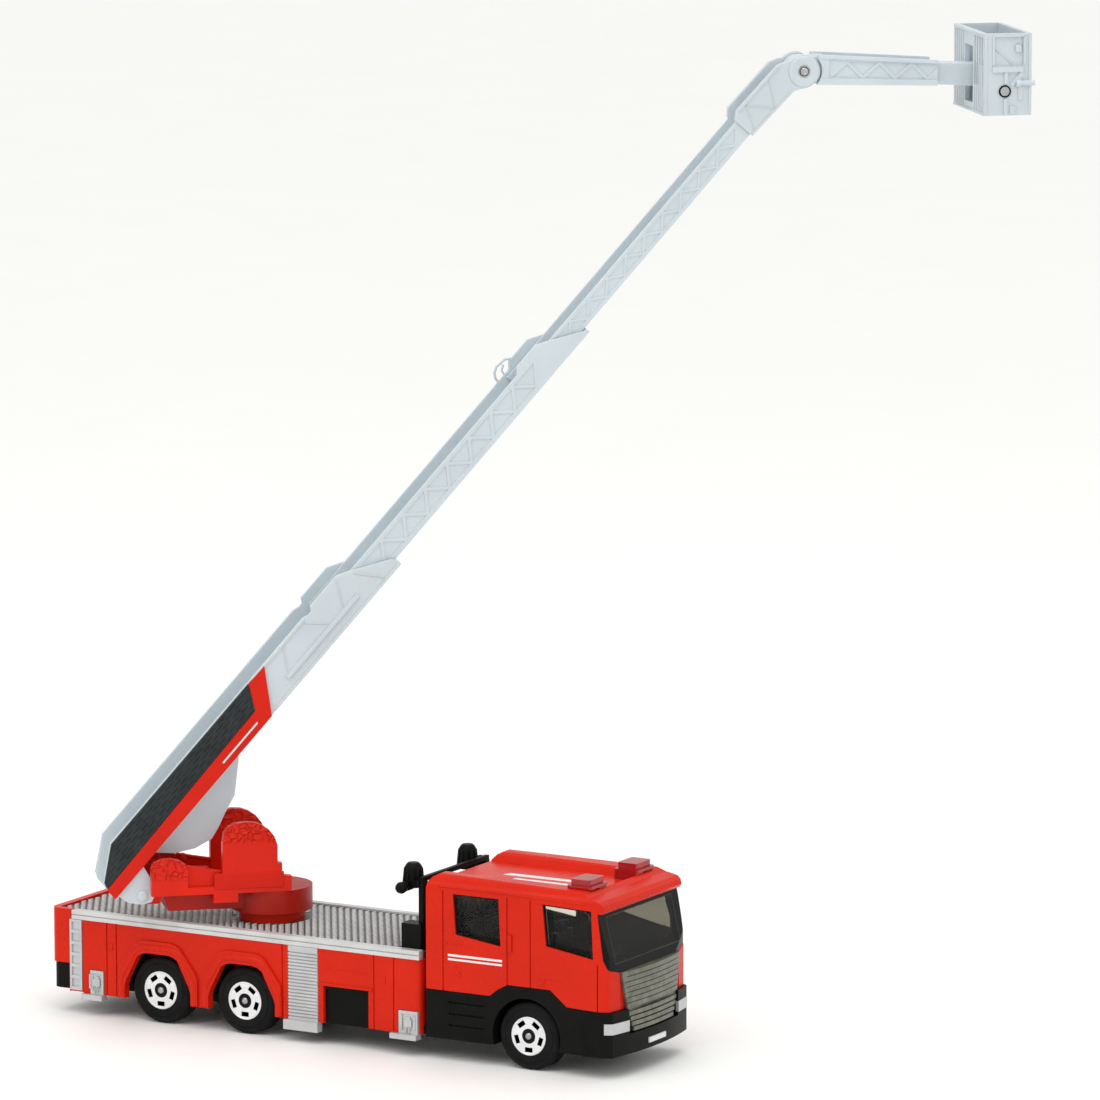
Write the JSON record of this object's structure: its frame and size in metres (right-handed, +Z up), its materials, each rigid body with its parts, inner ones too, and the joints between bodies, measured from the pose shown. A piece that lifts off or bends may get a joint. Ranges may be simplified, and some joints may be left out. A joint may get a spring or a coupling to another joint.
{
  "type": "toy fire engine with aerial ladder",
  "caption": "Six-wheel toy fire engine with a slewing turntable, a raised sliding ladder, a folding tip arm and a rescue basket.",
  "frame": {"origin": "on the flat underside of the chassis, on the centre line, 45 mm ahead of the rearmost axle and 30 mm behind the front axle", "axes": "+X towards the cab, +Y to the left of the truck, +Z up"},
  "size_m": [0.1456, 0.1225, 0.173],
  "materials": {
    "black_plastic": "satin moulded plastic",
    "red_casting": "gloss red enamel on die-cast metal",
    "red_plastic": "gloss red plastic",
    "silver_plastic": "silver-painted plastic",
    "steel": "bare drawn steel",
    "smoked_glass": "smoked clear plastic",
    "grille_grey": "olive grey paint",
    "white_plastic": "white",
    "red_clear": "clear red plastic",
    "tyre": "matt black",
    "ladder_grey": "satin light blue-grey plastic",
    "tread_grey": "dark grey print"
  },
  "bodies": {
    "truck": {"chassis_base": "black_plastic", "rear_body": "red_casting", "deck_plate": "silver_plastic", "turntable_rivet": "steel", "base_rivets": "steel", "rear_ladder_right": "silver_plastic", "rear_ladder_left": "silver_plastic", "rear_locker_right": "silver_plastic", "rear_locker_left": "silver_plastic", "shutter_right": "silver_plastic", "shutter_left": "silver_plastic", "front_locker_right": "silver_plastic", "front_locker_left": "silver_plastic", "cab_shell": "red_casting", "cab_glazing": "smoked_glass", "cab_interior": "black_plastic", "grille": "grille_grey", "headlamp_right": "white_plastic", "headlamp_left": "white_plastic", "number_plate": "white_plastic", "beacon_right": "red_clear", "beacon_left": "red_clear", "ladder_rest": "black_plastic"},
    "turntable": {"turntable_disc": "red_plastic", "turntable_frame": "red_plastic", "elevation_pin": "ladder_grey"},
    "lower_ladder": {"ladder_base": "ladder_grey", "panel_right": "red_plastic", "panel_left": "red_plastic", "tread_right": "tread_grey", "tread_left": "tread_grey"},
    "middle_ladder": {"ladder_mid": "ladder_grey"},
    "upper_ladder": {"ladder_top": "ladder_grey", "elbow_pin": "steel"},
    "arm": {"tip_arm": "ladder_grey"},
    "rescue_basket": {"basket": "ladder_grey", "basket_pin": "steel"},
    "rear_wheelset": {"axle_rear": "steel", "wheel_rear_right": "tyre", "wheel_rear_left": "tyre", "cover_rear_right": "silver_plastic", "cover_rear_left": "silver_plastic"},
    "mid_wheelset": {"axle_mid": "steel", "wheel_mid_right": "tyre", "wheel_mid_left": "tyre", "cover_mid_right": "silver_plastic", "cover_mid_left": "silver_plastic"},
    "front_wheelset": {"axle_front": "steel", "wheel_front_right": "tyre", "wheel_front_left": "tyre", "cover_front_right": "silver_plastic", "cover_front_left": "silver_plastic"}
  },
  "joints": [
    {"name": "rear_axle_spin", "type": "hinge", "parent": "truck", "child": "rear_wheelset", "pos_m": [-0.045, 0, 0.0021], "axis": [0, 1, 0], "continuous": true},
    {"name": "mid_axle_spin", "type": "hinge", "parent": "truck", "child": "mid_wheelset", "pos_m": [-0.0275, 0, 0.0021], "axis": [0, 1, 0], "continuous": true},
    {"name": "front_axle_spin", "type": "hinge", "parent": "truck", "child": "front_wheelset", "pos_m": [0.03, 0, 0.0021], "axis": [0, 1, 0], "continuous": true},
    {"name": "turntable_slew", "type": "hinge", "parent": "truck", "child": "turntable", "pos_m": [-0.03, 0, 0.0181], "axis": [0, 0, 1], "continuous": true},
    {"name": "ladder_elevation", "type": "hinge", "parent": "turntable", "child": "lower_ladder", "pos_m": [-0.04776, -0.01599, 0.0202], "axis": [0.6691, -0.7431, 0], "range_deg": [-44, 26.7]},
    {"name": "middle_slide", "type": "slide", "parent": "lower_ladder", "child": "middle_ladder", "axis": [0.4944, 0.4451, 0.7466], "range_m": [-0.048, 0]},
    {"name": "upper_slide", "type": "slide", "parent": "middle_ladder", "child": "upper_ladder", "axis": [0.4944, 0.4451, 0.7466], "range_m": [-0.0435, 0]},
    {"name": "elbow_fold", "type": "hinge", "parent": "upper_ladder", "child": "arm", "pos_m": [0.04093, 0.06387, 0.16258], "axis": [-0.6691, 0.7431, 0], "range_deg": [-50.9, 39]},
    {"name": "basket_tilt", "type": "hinge", "parent": "arm", "child": "rescue_basket", "pos_m": [0.06677, 0.08714, 0.1589], "axis": [0.6691, -0.7431, 0], "range_deg": [-30, 30]}
  ]
}
